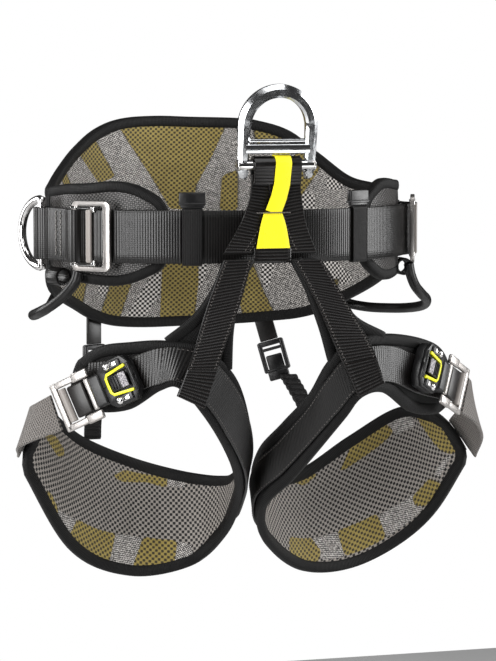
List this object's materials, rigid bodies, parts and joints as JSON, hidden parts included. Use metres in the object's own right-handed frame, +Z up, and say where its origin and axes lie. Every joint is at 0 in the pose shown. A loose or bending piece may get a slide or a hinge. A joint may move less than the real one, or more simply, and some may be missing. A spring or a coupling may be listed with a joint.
{
  "type": "tree climbing saddle",
  "caption": "Padded work-positioning harness: waist belt with side rings and gear loops, a ventral ring on a V bridge and quick-release leg loops.",
  "frame": {"origin": "centre of the waist opening, at the middle of the waist webbing's width", "axes": "+Z up; the wearer faces -Y; left_ pieces are at -X and right_ pieces at +X, as seen from the front"},
  "size_m": [0.3881, 0.2505, 0.3959],
  "materials": {
    "black_webbing": "woven, matt, with a low sheen",
    "elastic": "ribbed elastic, matt",
    "yellow_webbing": "woven, matt",
    "back_lining": "spacer mesh in olive and grey panels, black binding",
    "leg_lining": "open spacer mesh, grey with olive patches, black binding",
    "black_mesh": "coarse spacer mesh with black binding",
    "ring_aluminium": "forged and polished",
    "buckle_steel": "pressed and tumbled",
    "grey_bar": "satin, darker than the frames",
    "moulded_loop": "ridged, satin",
    "black_plastic": "moulded, fine texture",
    "button_plastic": "black with a yellow outline"
  },
  "bodies": {
    "belt": {"back_pad": "back_lining", "back_webbing": "black_webbing", "front_webbing": "black_webbing", "bridge_web": "black_webbing", "wear_strip": "yellow_webbing", "left_side_pad": "black_mesh", "right_side_pad": "black_mesh", "left_ring_strap": "black_webbing", "right_ring_strap": "black_webbing", "left_keeper": "elastic", "right_keeper": "elastic", "left_waist_frame": "buckle_steel", "right_waist_frame": "buckle_steel", "left_gear_loop": "moulded_loop", "right_gear_loop": "moulded_loop", "left_accessory_loop": "black_webbing", "right_accessory_loop": "black_webbing", "left_rear_tab": "black_webbing", "right_rear_tab": "black_webbing", "left_rear_clip": "black_plastic", "right_rear_clip": "black_plastic", "left_rear_hook": "black_plastic", "right_rear_hook": "black_plastic", "left_rear_elastic": "elastic", "right_rear_elastic": "elastic"},
    "ring": {"ring": "ring_aluminium", "ring_pin": "buckle_steel", "ring_screws": "buckle_steel"},
    "left_side_ring": {"left_side_ring": "buckle_steel"},
    "left_waist_plate": {"left_waist_plate": "buckle_steel", "left_waist_bar": "grey_bar"},
    "left_leg": {"left_leg_pad": "leg_lining", "left_riser_pad": "black_mesh", "left_leg_strap": "black_webbing", "left_leg_webbing": "black_webbing", "left_adjust_webbing": "black_webbing", "left_buckle_housing": "black_plastic", "left_buckle_rivets": "buckle_steel"},
    "left_button": {"left_buckle_button": "button_plastic"},
    "left_tongue": {"left_buckle_tongue": "black_plastic", "left_leg_frame": "buckle_steel", "left_leg_roller": "grey_bar"},
    "right_side_ring": {"right_side_ring": "buckle_steel"},
    "right_waist_plate": {"right_waist_plate": "buckle_steel", "right_waist_bar": "grey_bar"},
    "right_leg": {"right_leg_pad": "leg_lining", "right_riser_pad": "black_mesh", "right_leg_strap": "black_webbing", "right_leg_webbing": "black_webbing", "right_adjust_webbing": "black_webbing", "right_buckle_housing": "black_plastic", "right_buckle_rivets": "buckle_steel"},
    "right_button": {"right_buckle_button": "button_plastic"},
    "right_tongue": {"right_buckle_tongue": "black_plastic", "right_leg_frame": "buckle_steel", "right_leg_roller": "grey_bar"}
  },
  "joints": [
    {"name": "ring_swing", "type": "hinge", "parent": "belt", "child": "ring", "pos_m": [-0.005, -0.124, 0.054], "axis": [1, 0, 0], "range_deg": [-95, 80]},
    {"name": "left_side_ring_swing", "type": "hinge", "parent": "belt", "child": "left_side_ring", "pos_m": [-0.15781, -0.01475, 0], "axis": [0, 0, 1], "range_deg": [-8, 130]},
    {"name": "left_waist_plate_tilt", "type": "hinge", "parent": "belt", "child": "left_waist_plate", "pos_m": [-0.14298, -0.05752, 0], "axis": [0, 0, -1], "range_deg": [0, 20]},
    {"name": "left_leg_swing", "type": "hinge", "parent": "belt", "child": "left_leg", "pos_m": [-0.035, -0.125, -0.014], "axis": [1, 0, 0], "range_deg": [-35, 10], "stiffness_Nm_per_rad": 3, "deforming": ["left_rear_elastic"]},
    {"name": "left_button_press", "type": "slide", "parent": "left_leg", "child": "left_button", "axis": [0.6428, 0.766, 0], "range_m": [0, 0.0025], "stiffness_N_per_m": 400},
    {"name": "left_tongue_release", "type": "slide", "parent": "left_leg", "child": "left_tongue", "axis": [-0.6943, 0.5826, -0.4226], "range_m": [0, 0.02], "deforming": ["left_adjust_webbing"]},
    {"name": "right_side_ring_swing", "type": "hinge", "parent": "belt", "child": "right_side_ring", "pos_m": [0.14161, 0.01684, 0], "axis": [0, 0, -1], "range_deg": [-8, 130]},
    {"name": "right_waist_plate_tilt", "type": "hinge", "parent": "belt", "child": "right_waist_plate", "pos_m": [0.14279, -0.02406, 0], "axis": [0, 0, 1], "range_deg": [0, 20]},
    {"name": "right_leg_swing", "type": "hinge", "parent": "belt", "child": "right_leg", "pos_m": [0.016, -0.125, -0.014], "axis": [1, 0, 0], "range_deg": [-35, 10], "stiffness_Nm_per_rad": 3, "deforming": ["right_rear_elastic"]},
    {"name": "right_button_press", "type": "slide", "parent": "right_leg", "child": "right_button", "axis": [-0.6157, 0.788, 0], "range_m": [0, 0.0025], "stiffness_N_per_m": 400},
    {"name": "right_tongue_release", "type": "slide", "parent": "right_leg", "child": "right_tongue", "axis": [0.7142, 0.558, -0.4226], "range_m": [0, 0.02], "deforming": ["right_adjust_webbing"]}
  ]
}
